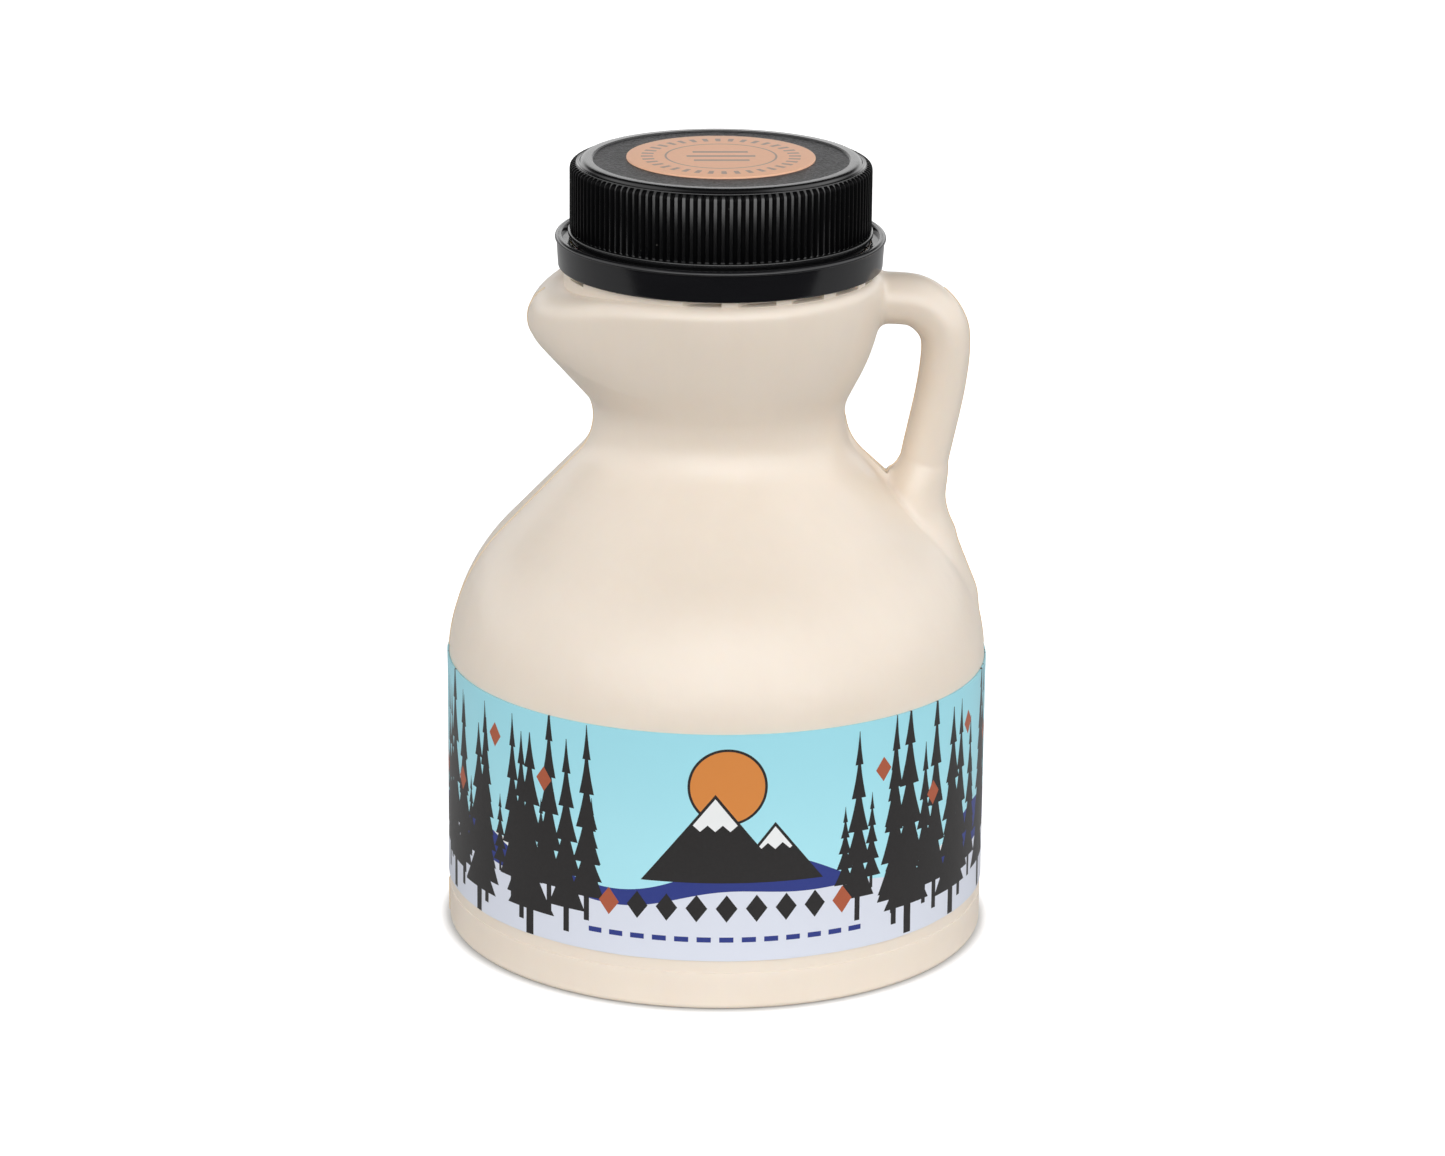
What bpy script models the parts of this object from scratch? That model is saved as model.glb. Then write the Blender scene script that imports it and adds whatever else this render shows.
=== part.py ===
"""Half-pint syrup jug with a ribbed screw cap.

The jug stands on its base at the origin, +Z up, with its ear handle at +X and its
pouring lip at -X. Every outline is a row of (radius, height) pairs, and every row of
the jug is one ring round the axis.
"""

import bmesh
import bpy
from math import acos, asin, cos, hypot, pi, radians, sin, tan

MM = 0.001
GAP = 0.3 * MM

# Jug body
CONTACT_R = 36.1 * MM
CONTACT_INNER_R = 28.0 * MM
PUSH_UP = 1.5 * MM
PUSH_UP_BEND = (14.0 * MM, 1.3 * MM)
BODY_R = 36.75 * MM
FOOT_TOP_Z = 5.0 * MM
STEP = 0.35 * MM
DOME_START_Z = 37.4 * MM
DOME_ARC_R = 26.7 * MM
DOME_ANGLE = radians(43.5)
WAIST_R = 16.95 * MM
WAIST_Z = 72.0 * MM
WAIST_ARC_R = 7.7 * MM

# Head, all round but at the lip
HEAD_ANGLE = radians(27.0)
HEAD_CONE_TOP_Z = 78.0 * MM
HEAD_ARC_TOP_Z = 90.3 * MM
SHOULDER_ARC_R = 2.0 * MM

# Pouring lip: a bulge of the head at -X
LIP_R = 25.85 * MM
LIP_Z = 85.6 * MM
LIP_ANGLE = radians(42.0)
LIP_WAIST_ARC_R = 5.3 * MM
LIP_UNDER_ARC_R = 4.4 * MM
LIP_TOP_ARC_R = 4.5 * MM
LIP_WIDTH_POWER = 4

# Neck, under the band and the cap
NOTCH_LOW_Z = 92.1 * MM
RATCHET_R = 21.0 * MM
RATCHET_TOP_Z = 95.9 * MM
NECK_R = 18.2 * MM
NECK_TOP_Z = 105.6 * MM
TOOTH_PITCH = radians(20.0)
TOOTH_RAMP = radians(14.0)
TOOTH_DEPTH = 1.2 * MM
CUTTER_PROUD = 0.1 * MM
TEETH_PER_ARC = 7
TOOTH_ARC_STARTS = (radians(-92.0), radians(88.0))

# Handle: centre line in the plane of the mould seam
HANDLE_DEPTH_R = 3.2 * MM
HANDLE_WIDTH_R = 4.1 * MM
HANDLE_FOOT_GROWTH = 2.4 * MM
HANDLE_FOOT_POWER = 0.7
HANDLE_TOP_GROWTH = 0.3 * MM
HANDLE_ROOT = (16.0 * MM, 88.1 * MM)
HANDLE_BEND_TOP = (24.3 * MM, 88.05 * MM)
HANDLE_BEND_SIDE = (30.6 * MM, 81.8 * MM)
HANDLE_GRIP = (30.0 * MM, 75.5 * MM)
HANDLE_LOW = (28.0 * MM, 65.5 * MM)
HANDLE_FLARE = (26.85 * MM, 58.0 * MM)
HANDLE_FOOT = (30.0 * MM, 46.0 * MM)

# Label: a thin sleeve in the panel of the body
LABEL_R = 37.0 * MM
LABEL_LOW_Z = 7.0 * MM
LABEL_TOP_Z = 38.65 * MM
LABEL_THICKNESS = 0.3 * MM
LABEL_INNER_R = LABEL_R - LABEL_THICKNESS
PANEL_R = LABEL_INNER_R - GAP
PANEL_TOP_Z = LABEL_TOP_Z + GAP

# Tamper band
BAND_R = 22.2 * MM
BAND_LOW_R = 21.85 * MM
BAND_INNER_R = RATCHET_R + GAP
BAND_LOW_Z = 92.9 * MM
BAND_TOP_Z = 97.1 * MM
BAND_EDGE = 0.45 * MM

# Cap
CAP_R = 20.25 * MM
RIB_COUNT = 120
RIB_DEPTH = 0.35 * MM
CAP_LIP_R = 20.45 * MM
CAP_LIP_LOW_Z = 97.1 * MM
CAP_LIP_TOP_Z = 97.7 * MM
SKIRT_R = 19.9 * MM
SKIRT_LOW_Z = RATCHET_TOP_Z + GAP
RIB_LOW_Z = 97.9 * MM
RIB_TOP_Z = 106.3 * MM
RIM_FOOT_R = 19.4 * MM
RIM_FOOT_Z = 107.0 * MM
RIM_R = 18.9 * MM
RIM_EDGE_Z = 107.2 * MM
RIM_INNER_R = 17.25 * MM
CAP_TOP_Z = 107.45 * MM
DISC_Z = 106.95 * MM
CAP_INNER_R = NECK_R + GAP
CAP_INNER_Z = NECK_TOP_Z + GAP

# Sticker on the cap
STICKER_R = 12.65 * MM
STICKER_THICKNESS = 0.2 * MM
STICKER_BACK = 0.9 * MM
STICKER_LOW_Z = DISC_Z + GAP
STICKER_TOP_Z = STICKER_LOW_Z + STICKER_THICKNESS

# Mesh fineness
JUG_SIDES = 64
RING_SIDES = 64
DISC_SIDES = 48
HANDLE_SIDES = 14
HANDLE_STEPS = 24
BEND_STEPS = 3
HEEL_STEPS = 3
DOME_STEPS = 8
WAIST_STEPS = 5
THROAT_STEPS = 3
FLARE_STEPS = 5
EDGE_STEPS = 4
RAMP_STEPS = 2
SHARP_ANGLE = radians(35.0)

# Colours, linear, and how matt each finish is
CREAM = (0.74, 0.63, 0.49)
BLACK = (0.012, 0.012, 0.013)
LABEL_BLUE = (0.22, 0.58, 0.72)
SALMON = (0.80, 0.42, 0.26)
CREAM_ROUGHNESS = 0.38
BLACK_ROUGHNESS = 0.30
LABEL_ROUGHNESS = 0.40
STICKER_ROUGHNESS = 0.45


def material(name, colour, roughness):
    """A plastic or paper finish of one colour."""
    made = bpy.data.materials.new(name)
    made.use_nodes = True
    shader = made.node_tree.nodes["Principled BSDF"]
    shader.inputs["Base Color"].default_value = (*colour, 1.0)
    shader.inputs["Roughness"].default_value = roughness
    shader.inputs["Metallic"].default_value = 0.0
    return made


def mesh_object(name, bm, finish=None):
    """The bmesh as a smooth-shaded object that stands on its own."""
    bmesh.ops.recalc_face_normals(bm, faces=bm.faces)
    mesh = bpy.data.meshes.new(name)
    bm.to_mesh(mesh)
    bm.free()
    mesh.shade_smooth()
    mesh.set_sharp_from_angle(angle=SHARP_ANGLE)
    if finish:
        mesh.materials.append(finish)
    made = bpy.data.objects.new(name, mesh)
    bpy.context.scene.collection.objects.link(made)
    return made


def arc(centre, radius, start, end, steps):
    """Points on a circle in the (radius, height) plane, from one angle to another."""
    turn = [start + (end - start) * i / steps for i in range(steps + 1)]
    return [(centre[0] + radius * cos(a), centre[1] + radius * sin(a)) for a in turn]


def foot_profile():
    """Base push-up, contact ring, heel and the step up into the label's panel."""
    heel = BODY_R - CONTACT_R
    return [
        PUSH_UP_BEND,
        (CONTACT_INNER_R, 0.0),
        *arc((CONTACT_R, heel), heel, -pi / 2, 0.0, HEEL_STEPS),
        (BODY_R, FOOT_TOP_Z),
        (PANEL_R, FOOT_TOP_Z + STEP),
        (PANEL_R, PANEL_TOP_Z),
    ]


def dome_profile():
    """Shoulder dome and lower waist, from the panel's top edge to just below the waist."""
    start = asin((PANEL_TOP_Z + STEP - DOME_START_Z) / DOME_ARC_R)
    dome = arc((BODY_R - DOME_ARC_R, DOME_START_Z), DOME_ARC_R, start, DOME_ANGLE, DOME_STEPS)
    waist_centre = (WAIST_R + WAIST_ARC_R, WAIST_Z)
    waist = arc(waist_centre, WAIST_ARC_R, pi + DOME_ANGLE, pi, WAIST_STEPS)
    return dome + waist[:-1]


def rounded_to_neck(centre, radius):
    """A round edge from upright over to where it meets the ratchet's wall."""
    end = acos((RATCHET_R - centre[0]) / radius)
    return arc(centre, radius, 0.0, end, EDGE_STEPS)[1:]


def head_profile():
    """Waist, flare and shoulder of the head, away from the lip."""
    waist = arc((WAIST_R + WAIST_ARC_R, WAIST_Z), WAIST_ARC_R, pi, pi - HEAD_ANGLE, THROAT_STEPS)
    cone_r = waist[-1][0] + (HEAD_CONE_TOP_Z - waist[-1][1]) * tan(HEAD_ANGLE)
    flare_r = (HEAD_ARC_TOP_Z - HEAD_CONE_TOP_Z) / sin(HEAD_ANGLE)
    flare_centre = (cone_r - flare_r * cos(HEAD_ANGLE), HEAD_ARC_TOP_Z)
    flare = arc(flare_centre, flare_r, -HEAD_ANGLE, 0.0, FLARE_STEPS)
    centre = (flare[-1][0] - SHOULDER_ARC_R, HEAD_ARC_TOP_Z)
    return waist + flare + rounded_to_neck(centre, SHOULDER_ARC_R)


def lip_profile():
    """The same rows through the middle of the pouring lip."""
    waist_centre = (WAIST_R + LIP_WAIST_ARC_R, WAIST_Z)
    waist = arc(waist_centre, LIP_WAIST_ARC_R, pi, pi - LIP_ANGLE, THROAT_STEPS)
    under_centre = (LIP_R - LIP_UNDER_ARC_R, LIP_Z)
    under = arc(under_centre, LIP_UNDER_ARC_R, -LIP_ANGLE, 0.0, FLARE_STEPS)
    return waist + under + rounded_to_neck((LIP_R - LIP_TOP_ARC_R, LIP_Z), LIP_TOP_ARC_R)


def lip_share(angle):
    """How much of the lip a point at this angle round the axis takes, 0 to 1."""
    return max(0.0, -cos(angle)) ** LIP_WIDTH_POWER


def ring(bm, sides, place):
    """One row of vertices; place gives (radius, height) for an angle."""
    row = []
    for i in range(sides):
        angle = 2 * pi * i / sides
        r, z = place(angle)
        row.append(bm.verts.new((r * cos(angle), r * sin(angle), z)))
    return row


def bridge(bm, lower, upper):
    """Faces between two rows; the upper may have as many, twice or half the points."""
    if len(lower) == len(upper):
        for i in range(len(lower)):
            j = (i + 1) % len(lower)
            bm.faces.new((lower[i], lower[j], upper[j], upper[i]))
        return
    coarse, fine = sorted((lower, upper), key=len)
    for i in range(len(coarse)):
        j = (i + 1) % len(coarse)
        k = 2 * i
        after = (k + 2) % len(fine)
        bm.faces.new((coarse[i], coarse[j], fine[k + 1]))
        bm.faces.new((coarse[i], fine[k + 1], fine[k]))
        bm.faces.new((coarse[j], fine[after], fine[k + 1]))


def turned(name, outline, sides, finish, closed=False):
    """A solid of revolution; closed joins the last row to the first, as in a ring."""
    bm = bmesh.new()
    rows = [ring(bm, sides, lambda angle, p=p: p) for p in outline]
    for lower, upper in zip(rows, rows[1:]):
        bridge(bm, lower, upper)
    if closed:
        bridge(bm, rows[-1], rows[0])
    else:
        bm.faces.new(rows[0])
        bm.faces.new(rows[-1])
    return mesh_object(name, bm, finish)


def jug_body(finish):
    """Body, waist, head with its lip, ledge and neck in one skin."""
    bm = bmesh.new()
    head = head_profile()
    lip = lip_profile()

    def blend(i):
        def place(angle):
            share = lip_share(angle)
            return tuple(a + (b - a) * share for a, b in zip(head[i], lip[i]))
        return place

    rows = [ring(bm, JUG_SIDES, lambda angle, p=p: p) for p in foot_profile() + dome_profile()]
    rows += [ring(bm, JUG_SIDES, blend(i)) for i in range(len(head))]
    neck = (
        (RATCHET_R, RATCHET_TOP_Z),
        (NECK_R, RATCHET_TOP_Z),
        (NECK_R, NECK_TOP_Z),
    )
    rows += [ring(bm, JUG_SIDES, lambda angle, p=p: p) for p in neck]
    for lower, upper in zip(rows, rows[1:]):
        bridge(bm, lower, upper)
    centre = bm.verts.new((0.0, 0.0, PUSH_UP))
    for i in range(JUG_SIDES):
        bm.faces.new((rows[0][i], centre, rows[0][(i + 1) % JUG_SIDES]))
    bm.faces.new(rows[-1])
    return mesh_object("jug", bm, finish)


def smooth_path(points, steps):
    """Points read evenly from a smooth curve through the given ones."""
    ends = [points[0]] + list(points) + [points[-1]]
    path = []
    for i in range(steps + 1):
        at = i / steps * (len(points) - 1)
        k = min(int(at), len(points) - 2)
        t = at - k
        a, b, c, d = ends[k:k + 4]
        path.append(tuple(
            0.5 * (2 * q + (s - p) * t + (2 * p - 5 * q + 4 * s - u) * t * t
                   + (3 * q - p - 3 * s + u) * t ** 3)
            for p, q, s, u in zip(a, b, c, d)))
    return path


def handle():
    """The ear: an oval tube along the handle's centre line, wider at its foot."""
    across = HANDLE_BEND_SIDE[0] - HANDLE_BEND_TOP[0]
    rise = HANDLE_BEND_TOP[1] - HANDLE_BEND_SIDE[1]
    bend = []
    for i in range(BEND_STEPS + 1):
        a = pi / 2 * i / BEND_STEPS
        bend.append((HANDLE_BEND_TOP[0] + across * sin(a), HANDLE_BEND_SIDE[1] + rise * cos(a)))
    path = smooth_path(
        [HANDLE_ROOT, *bend, HANDLE_GRIP, HANDLE_LOW, HANDLE_FLARE, HANDLE_FOOT], HANDLE_STEPS)
    bm = bmesh.new()
    rows = []
    for i, (x, z) in enumerate(path):
        before = path[max(i - 1, 0)]
        after = path[min(i + 1, HANDLE_STEPS)]
        length = hypot(after[0] - before[0], after[1] - before[1])
        out = ((after[1] - before[1]) / length, (before[0] - after[0]) / length)
        low = max(0.0, (HANDLE_LOW[1] - z) / (HANDLE_LOW[1] - HANDLE_FOOT[1]))
        high = min(1.0, max(0.0, (z - HANDLE_BEND_SIDE[1]) / rise))
        growth = HANDLE_FOOT_GROWTH * low ** HANDLE_FOOT_POWER + HANDLE_TOP_GROWTH * high
        depth = HANDLE_DEPTH_R + growth
        width = HANDLE_WIDTH_R + growth
        row = []
        for j in range(HANDLE_SIDES):
            a = 2 * pi * j / HANDLE_SIDES
            row.append(bm.verts.new((x + out[0] * depth * cos(a), width * sin(a),
                                     z + out[1] * depth * cos(a))))
        rows.append(row)
    for lower, upper in zip(rows, rows[1:]):
        bridge(bm, lower, upper)
    bm.faces.new(rows[0])
    bm.faces.new(rows[-1])
    return mesh_object("ear", bm)


def tooth_notches():
    """Cutters for the ratchet: each goes in along a ramp and ends at a steep face."""
    bm = bmesh.new()
    outer_r = RATCHET_R + TOOTH_DEPTH
    for start in TOOTH_ARC_STARTS:
        for k in range(TEETH_PER_ARC):
            steep = start + k * TOOTH_PITCH
            plan = []
            for i in range(RAMP_STEPS + 1):
                share = i / RAMP_STEPS
                depth = TOOTH_DEPTH * share - CUTTER_PROUD
                plan.append((steep - TOOTH_RAMP * (1 - share), RATCHET_R - depth))
            plan += [(a, outer_r) for a, r in reversed(plan)]
            rows = [[bm.verts.new((r * cos(a), r * sin(a), z)) for a, r in plan]
                    for z in (NOTCH_LOW_Z, RATCHET_TOP_Z + GAP)]
            bridge(bm, *rows)
            bm.faces.new(rows[0])
            bm.faces.new(rows[1])
    return mesh_object("notches", bm)


def boolean(target, tool, operation):
    """Join or cut the target with the tool, and drop the tool."""
    step = target.modifiers.new(tool.name, "BOOLEAN")
    step.operation = operation
    step.solver = "EXACT"
    step.object = tool
    bpy.context.view_layer.update()
    graph = bpy.context.evaluated_depsgraph_get()
    mesh = bpy.data.meshes.new_from_object(target.evaluated_get(graph))
    target.modifiers.clear()
    target.data = mesh
    bpy.data.objects.remove(tool)


def cap(finish):
    """Screw cap: a cup over the neck, with a lip, grip ribs and a raised rim on top."""
    bm = bmesh.new()

    def plain(r, z):
        return ring(bm, RIB_COUNT, lambda angle: (r, z))

    def ribbed(r, z):
        half = pi / RIB_COUNT
        return ring(bm, 2 * RIB_COUNT,
                    lambda angle: (r - RIB_DEPTH * (round(angle / half) % 2), z))

    rows = [
        plain(CAP_INNER_R, CAP_INNER_Z),
        plain(CAP_INNER_R, SKIRT_LOW_Z),
        plain(SKIRT_R, SKIRT_LOW_Z),
        plain(SKIRT_R, CAP_LIP_LOW_Z),
        plain(CAP_LIP_R, CAP_LIP_LOW_Z),
        plain(CAP_LIP_R, CAP_LIP_TOP_Z),
        ribbed(CAP_R, RIB_LOW_Z),
        ribbed(CAP_R, RIB_TOP_Z),
        plain(RIM_FOOT_R, RIM_FOOT_Z),
        plain(RIM_R, RIM_EDGE_Z),
        plain(RIM_INNER_R, CAP_TOP_Z),
        plain(RIM_INNER_R, DISC_Z),
    ]
    for lower, upper in zip(rows, rows[1:]):
        bridge(bm, lower, upper)
    bm.faces.new(rows[0])
    bm.faces.new(rows[-1])
    return mesh_object("cap", bm, finish)


def tamper_band(finish):
    """Loose ring round the ratchet, a little narrower at its lower edge."""
    outline = [
        (BAND_INNER_R, BAND_LOW_Z),
        (BAND_LOW_R, BAND_LOW_Z),
        (BAND_R, BAND_TOP_Z - BAND_EDGE),
        (BAND_R - BAND_EDGE, BAND_TOP_Z),
        (BAND_INNER_R, BAND_TOP_Z),
    ]
    return turned("tamper_band", outline, RING_SIDES, finish, closed=True)


def label(finish):
    """Printed sleeve in the body's panel."""
    outline = [
        (LABEL_INNER_R, LABEL_LOW_Z),
        (LABEL_R, LABEL_LOW_Z),
        (LABEL_R, LABEL_TOP_Z),
        (LABEL_INNER_R, LABEL_TOP_Z),
    ]
    return turned("label", outline, RING_SIDES, finish, closed=True)


def cap_sticker(finish):
    """Round sticker on the cap's sunk disc, a little towards the back."""
    outline = [(STICKER_R, STICKER_LOW_Z), (STICKER_R, STICKER_TOP_Z)]
    made = turned("cap_sticker", outline, DISC_SIDES, finish)
    for vert in made.data.vertices:
        vert.co.y += STICKER_BACK
    return made


def main():
    for old in list(bpy.data.objects):
        bpy.data.objects.remove(old)
    plastic = material("cream_plastic", CREAM, CREAM_ROUGHNESS)
    black = material("black_plastic", BLACK, BLACK_ROUGHNESS)
    jug = jug_body(plastic)
    boolean(jug, handle(), "UNION")
    boolean(jug, tooth_notches(), "DIFFERENCE")
    cap(black)
    tamper_band(black)
    label(material("label_film", LABEL_BLUE, LABEL_ROUGHNESS))
    cap_sticker(material("sticker_paper", SALMON, STICKER_ROUGHNESS))


main()
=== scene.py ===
from math import cos, pi, radians, sin, tan

import bmesh
import bpy
import numpy as np
from mathutils import Matrix, Vector


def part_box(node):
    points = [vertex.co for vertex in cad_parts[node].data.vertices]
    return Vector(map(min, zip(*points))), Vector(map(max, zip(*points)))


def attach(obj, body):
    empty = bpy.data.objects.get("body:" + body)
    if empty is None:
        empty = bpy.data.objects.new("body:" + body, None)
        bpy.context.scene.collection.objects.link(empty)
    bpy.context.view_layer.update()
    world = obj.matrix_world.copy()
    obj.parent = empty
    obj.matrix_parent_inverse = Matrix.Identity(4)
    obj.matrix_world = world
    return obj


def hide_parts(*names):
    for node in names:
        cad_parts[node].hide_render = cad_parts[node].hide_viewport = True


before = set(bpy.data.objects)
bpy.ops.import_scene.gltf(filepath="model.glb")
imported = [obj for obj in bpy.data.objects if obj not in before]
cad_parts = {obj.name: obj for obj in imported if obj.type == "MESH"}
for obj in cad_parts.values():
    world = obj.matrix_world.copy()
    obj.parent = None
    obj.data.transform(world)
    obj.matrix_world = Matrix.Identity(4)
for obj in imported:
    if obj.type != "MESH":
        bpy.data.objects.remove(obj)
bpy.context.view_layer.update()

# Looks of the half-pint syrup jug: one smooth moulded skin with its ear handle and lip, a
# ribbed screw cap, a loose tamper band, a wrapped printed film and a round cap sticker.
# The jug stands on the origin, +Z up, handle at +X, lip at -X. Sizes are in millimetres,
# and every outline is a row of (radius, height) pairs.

MM = 0.001


def span(node):
    """A node's lowest and highest corner, in millimetres."""
    low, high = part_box(node)
    return low / MM, high / MM


jug_high = span("jug")[1]
cap_low, cap_high = span("cap")
band_low, band_high = span("tamper_band")
label_low, label_high = span("label")
sticker_high = span("cap_sticker")[1]

# Jug body
CONTACT_R = 36.1
CONTACT_INNER_R = 28.0
PUSH_UP = 1.5
BODY_R = 36.75
PANEL_LINE_Z = 5.2
PANEL_STEP = 0.1
DOME_START_Z = 37.4
DOME_ARC_R = 26.7
DOME_ANGLE = radians(43.5)
WAIST_R = 16.95
WAIST_Z = 72.0
WAIST_ARC_R = 7.7

# Head and pouring lip
HEAD_ANGLE = radians(27.0)
HEAD_CONE_TOP_Z = 78.0
HEAD_ARC_TOP_Z = 90.3
SHOULDER_ARC_R = 2.0
LIP_R = 25.85
LIP_Z = 85.6
LIP_ANGLE = radians(42.0)
LIP_WAIST_ARC_R = 5.3
LIP_UNDER_ARC_R = 4.4
LIP_TOP_ARC_R = 4.5
LIP_WIDTH_POWER = 4

# Neck ring with its ratchet
RATCHET_R = 21.0
RATCHET_FOOT_Z = 89.6
NOTCH_LOW_Z = 92.1
RATCHET_TOP_Z = 95.9
NECK_R = 18.2
NECK_TOP_Z = jug_high.z
TOOTH_PITCH = radians(20.0)
TOOTH_RAMP = radians(14.0)
TOOTH_DEPTH = 1.2
TEETH_PER_ARC = 7
TOOTH_ARC_STARTS = (radians(-92.0), radians(88.0))

# Ear handle: centre line in the plane of the mould seam
HANDLE_DEPTH_R = 3.2
HANDLE_WIDTH_R = 4.1
HANDLE_FOOT_GROWTH = 2.4
HANDLE_FOOT_POWER = 0.7
HANDLE_ROOT = (16.0, 88.1)
HANDLE_BEND_TOP = (24.3, 88.05)
HANDLE_TOP_GROWTH = 0.3
HANDLE_BEND_SIDE = (30.6, 81.8)
HANDLE_GRIP = (30.0, 75.5)
HANDLE_LOW = (28.0, 65.5)
HANDLE_FLARE = (26.85, 58.0)
HANDLE_FOOT = (30.0, 46.0)
FILLET_HEIGHTS = (50.0, 58.0, 63.0, 68.0, 80.0, 84.0, 88.0)
FILLET_REACHES = (0.9, 1.1, 1.3, 2.6, 2.6, 1.5, 1.0)
WEB_SPAN = (55.0, 71.5)
WEB_HEIGHTS = (56.0, 60.0, 64.0, 66.5, 71.5)
WEB_RADII = (2.0, 2.0, 1.3, 0.7, 0.1)
WEB_FILLET = 0.9

# Skin mesh
SKIN_CELL = 0.52
SKIN_JOIN_Z = 20.0
FOOT_SIDES = 288

# Cap
CAP_WALL_R = 19.92
CAP_INNER_R = 18.5
SKIRT_R = 20.1
CAP_LIP_LOW_Z = 97.1
CAP_LIP_TOP_Z = 97.7
RIB_TOP_Z = 106.1
RIB_COUNT = 120
RIB_WIDTH = 0.66
RIB_HEIGHT = 0.33
RIB_SQUARENESS = 3.6
RIM_INNER_R = 17.25
RIM_R = 18.85
RIM_BELOW_TOP = 0.1
COLLAR_R = 19.42
COLLAR_Z = 106.9
DISC_Z = 107.15

# Tamper band
BAND_INNER_R = 21.3
BAND_LOW_R = 21.8
BAND_FLANGE = 0.56
BAND_BEAD_R = 20.3
BAND_BEAD_Z = 96.1
TAB_COUNT = 12


class Value:
    """A shader socket that takes part in sums."""

    def __init__(self, paint, socket):
        self.paint = paint
        self.socket = socket

    def __add__(self, other):
        return self.paint.math("ADD", self, other)

    def __sub__(self, other):
        return self.paint.math("SUBTRACT", self, other)

    def __rsub__(self, other):
        return self.paint.math("SUBTRACT", other, self)

    def __mul__(self, other):
        return self.paint.math("MULTIPLY", self, other)

    def __truediv__(self, other):
        return self.paint.math("DIVIDE", self, other)

    def __lt__(self, other):
        return self.paint.math("LESS_THAN", self, other)

    def __gt__(self, other):
        return self.paint.math("GREATER_THAN", self, other)

    __radd__ = __add__
    __rmul__ = __mul__


class Paint:
    """A material under construction: one Principled shader and what feeds it."""

    def __init__(self, name, **constants):
        self.material = bpy.data.materials.new(name)
        self.material.use_nodes = True
        self.nodes = self.material.node_tree.nodes
        self.links = self.material.node_tree.links
        self.shader = self.nodes["Principled BSDF"]
        for socket, value in constants.items():
            self.shader.inputs[socket.replace("_", " ")].default_value = value

    def node(self, kind, settings=None, inputs=None, output=0):
        """Any node: its settings first, then values or links for its sockets."""
        made = self.nodes.new(kind)
        for key, value in (settings or {}).items():
            if key == "stops":
                self.set_stops(made.color_ramp, value)
            else:
                setattr(made, key, value)
        for key, value in (inputs or {}).items():
            self.feed(made.inputs[key], value)
        return Value(self, made.outputs[output])

    def set_stops(self, ramp, stops):
        """The ramp's colours at their places."""
        while len(ramp.elements) < len(stops):
            ramp.elements.new(0.5)
        for element, (at, colour) in zip(ramp.elements, stops):
            element.position = at
            element.color = (*colour, 1.0)

    def feed(self, socket, value):
        """A link or a plain value for a socket."""
        if isinstance(value, Value):
            self.links.new(value.socket, socket)
        elif socket.type == "RGBA":
            socket.default_value = (*value, 1.0)
        else:
            socket.default_value = value

    def math(self, operation, *terms):
        return self.node("ShaderNodeMath", {"operation": operation}, dict(enumerate(terms)))

    def place(self):
        """Where a point is on the piece, in metres."""
        return self.node("ShaderNodeTexCoord", output="Object")

    def stretched(self, vector, scale):
        """The place, drawn out along some axes."""
        return self.node("ShaderNodeMapping", {}, {"Vector": vector, "Scale": scale})

    def parts(self, vector):
        """A vector's three numbers."""
        split = self.node("ShaderNodeSeparateXYZ", {}, {0: vector}).socket.node
        return [Value(self, socket) for socket in split.outputs]

    def noise(self, vector, scale, detail=2.0, roughness=0.5):
        return self.node("ShaderNodeTexNoise", {},
                         {"Vector": vector, "Scale": scale, "Detail": detail, "Roughness": roughness})

    def mixed(self, share, first, second):
        """One colour turning into another."""
        made = self.nodes.new("ShaderNodeMix")
        made.data_type = "RGBA"
        self.feed(made.inputs["Factor"], share)
        self.feed(made.inputs[6], first)
        self.feed(made.inputs[7], second)
        return Value(self, made.outputs[2])

    def ramp(self, share, stops):
        return self.node("ShaderNodeValToRGB", {"stops": stops}, {0: share})

    def between(self, value, low, high, start=0.0, end=1.0):
        """The value taken from one range to another, held at both ends."""
        return self.node("ShaderNodeMapRange", {"interpolation_type": "SMOOTHSTEP"},
                         {0: value, 1: low, 2: high, 3: start, 4: end})

    def bump(self, height, depth, under=None):
        """Relief of that depth in millimetres."""
        inputs = {"Height": height, "Distance": depth * MM, "Strength": 1.0}
        if under:
            inputs["Normal"] = under
        return self.node("ShaderNodeBump", {}, inputs)

    def finish(self, **sockets):
        """Feeds the shader and gives the material."""
        for name, value in sockets.items():
            self.feed(self.shader.inputs[name.replace("_", " ")], value)
        return self.material


class Surround(Paint):
    """The light all round, written in the same sums."""

    def __init__(self, name):
        world = bpy.data.worlds.new(name)
        world.use_nodes = True
        bpy.context.scene.world = world
        self.nodes = world.node_tree.nodes
        self.links = world.node_tree.links
        self.shader = self.nodes["Background"]

    def finish(self, **sockets):
        """Feeds the background."""
        for name, value in sockets.items():
            self.feed(self.shader.inputs[name], value)


def jug_plastic():
    """Satin cream polyethylene: faint flow marks, a soft wave and a fine skin."""
    paint = Paint("jug_plastic", Subsurface_Weight=0.2, Subsurface_Scale=1.2 * MM,
                  Subsurface_Radius=(1.0, 0.7, 0.45), Specular_IOR_Level=1.0)
    place = paint.place()
    cloud = paint.noise(place, 90.0, 3.0)
    flow = paint.noise(paint.stretched(place, (420.0, 420.0, 60.0)), 1.0, 4.0, 0.6)
    grain = paint.noise(place, 3200.0, 2.0)
    colour = paint.ramp(cloud * 0.7 + flow * 0.3,
                        [(0.3, (0.84, 0.735, 0.62)), (0.7, (0.87, 0.765, 0.65))])
    wave = paint.bump(cloud, 0.35)
    marks = paint.bump(flow, 0.02, wave)
    skin = paint.bump(grain, 0.006, marks)
    return paint.finish(Base_Color=colour, Roughness=0.31 + flow * 0.08, Normal=skin)


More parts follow.
